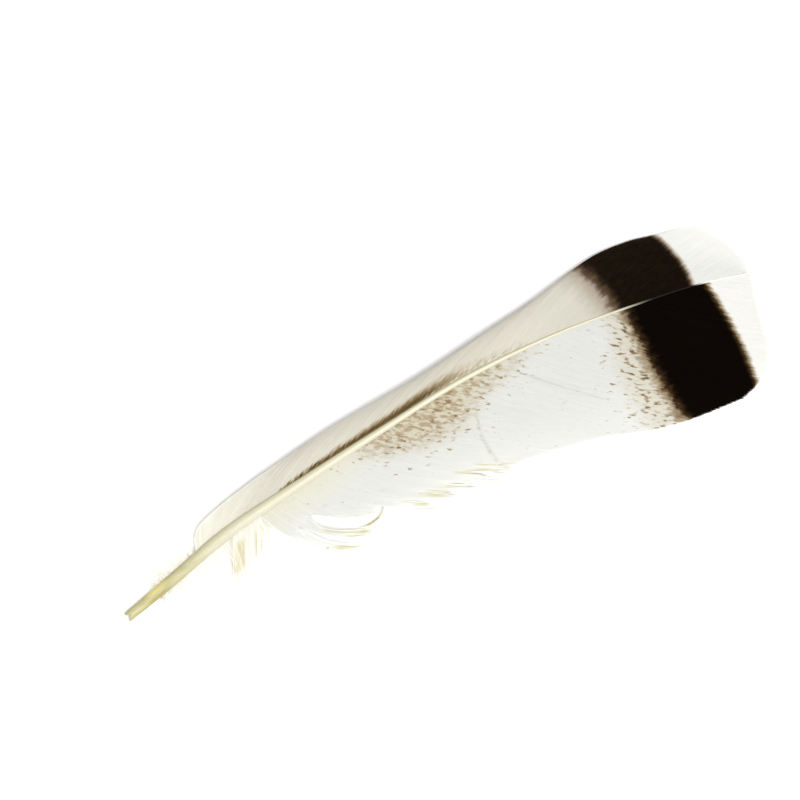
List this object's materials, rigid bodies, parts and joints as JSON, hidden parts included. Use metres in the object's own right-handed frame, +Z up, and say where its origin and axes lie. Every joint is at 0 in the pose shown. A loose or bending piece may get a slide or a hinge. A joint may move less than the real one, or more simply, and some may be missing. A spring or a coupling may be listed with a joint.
{
  "type": "turkey tail feather",
  "caption": "Shed tail feather lying flat: arched shaft, narrow and wide vanes, dark band before a pale tip, torn lower edge and down at the hollow quill.",
  "frame": {"origin": "centre of the feather's box, on the surface it lies on", "axes": "+X along the feather from the quill to the tip, +Y towards the narrow vane, +Z up from the surface, the feather's upper side up"},
  "size_m": [0.2849, 0.079, 0.0141],
  "materials": {
    "vane": "matt keratin barbs with a faint silky gloss, white to cream with brown-black markings",
    "shaft": "smooth horn, translucent and yellowish at the quill, cream and satin along the shaft",
    "down": "soft white down"
  },
  "bodies": {
    "root": {"feather": "vane"}
  },
  "joints": []
}
